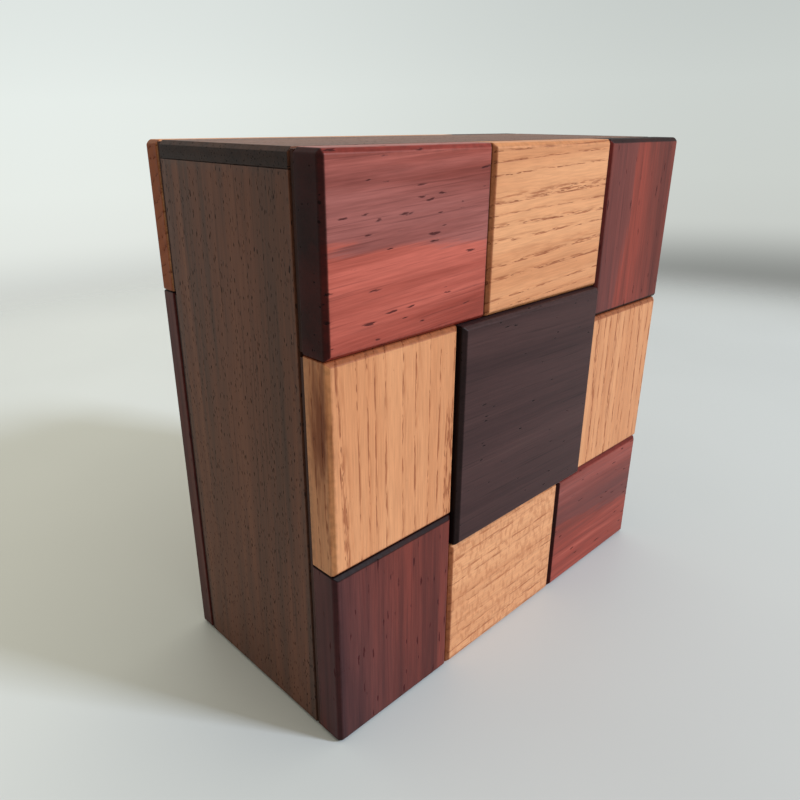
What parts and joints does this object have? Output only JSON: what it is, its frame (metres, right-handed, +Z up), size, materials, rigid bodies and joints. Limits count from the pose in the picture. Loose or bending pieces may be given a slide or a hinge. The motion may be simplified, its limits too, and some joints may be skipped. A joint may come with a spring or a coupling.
{
  "type": "wooden puzzle box",
  "caption": "Square wooden puzzle box with contrasting tiles in a pinwheel, sliding side modules round a core and a drawer behind the proud centre tile.",
  "frame": {"origin": "middle of the box's footprint, on the surface it stands on", "axes": "+X to the right seen from the front, +Y towards the back, +Z up; the tiled front with the proud centre tile faces -Y"},
  "size_m": [0.114, 0.0548, 0.114],
  "materials": {
    "padauk": "satin oiled, red with dark pores",
    "oak": "satin oiled, open brown pores",
    "wenge": "satin oiled, near black with fine lines",
    "walnut": "satin oiled, dark brown",
    "dark_plate": "matte, nearly black stained veneer plate",
    "maple": "plain sanded",
    "beech": "waxed",
    "cedar": "plain sanded",
    "magnet": "nickel plated"
  },
  "bodies": {
    "core": {"core_front_panel": "maple", "core_rear_panel": "maple", "core_top_wall": "maple", "core_left_wall": "maple", "core_bottom_wall": "maple", "core_right_wall": "maple", "tunnel_top_wall": "maple", "tunnel_left_wall": "maple", "tunnel_bottom_wall": "maple", "tunnel_right_wall": "maple", "drawer_stop_peg": "beech", "core_catch_magnet": "magnet", "rear_centre_plate": "dark_plate", "rear_centre_tile": "wenge"},
    "top_module": {"top_board": "walnut", "top_front_plate": "dark_plate", "top_rear_plate": "dark_plate", "top_left_tile": "padauk", "top_middle_tile": "oak", "top_rear_tile": "oak", "top_front_runner": "beech", "top_rear_runner": "beech"},
    "left_module": {"left_board": "walnut", "left_front_plate": "dark_plate", "left_rear_plate": "dark_plate", "bottom_left_tile": "padauk", "middle_left_tile": "oak", "left_rear_tile": "padauk", "left_front_runner": "beech", "left_rear_runner": "beech"},
    "bottom_module": {"bottom_board": "walnut", "bottom_front_plate": "dark_plate", "bottom_rear_plate": "dark_plate", "bottom_right_tile": "padauk", "bottom_middle_tile": "oak", "bottom_rear_tile": "oak", "bottom_front_runner": "beech", "bottom_rear_runner": "beech"},
    "right_module": {"right_board": "walnut", "right_front_plate": "dark_plate", "right_rear_plate": "dark_plate", "top_right_tile": "padauk", "middle_right_tile": "oak", "right_rear_tile": "padauk", "right_front_runner": "beech", "right_rear_runner": "beech"},
    "drawer": {"centre_tile": "wenge", "drawer_front": "walnut", "drawer_left_side": "cedar", "drawer_right_side": "cedar", "drawer_floor": "cedar", "drawer_back": "cedar", "drawer_catch_magnet": "magnet"}
  },
  "joints": [
    {"name": "top_slide", "type": "slide", "parent": "core", "child": "top_module", "axis": [-1, 0, 0], "range_m": [0, 0.012]},
    {"name": "left_slide", "type": "slide", "parent": "core", "child": "left_module", "axis": [0, 0, -1], "range_m": [0, 0.012]},
    {"name": "bottom_slide", "type": "slide", "parent": "core", "child": "bottom_module", "axis": [1, 0, 0], "range_m": [0, 0.012]},
    {"name": "right_slide", "type": "slide", "parent": "core", "child": "right_module", "axis": [0, 0, 1], "range_m": [0, 0.012]},
    {"name": "drawer_slide", "type": "slide", "parent": "core", "child": "drawer", "axis": [0, -1, 0], "range_m": [0, 0.022]}
  ]
}
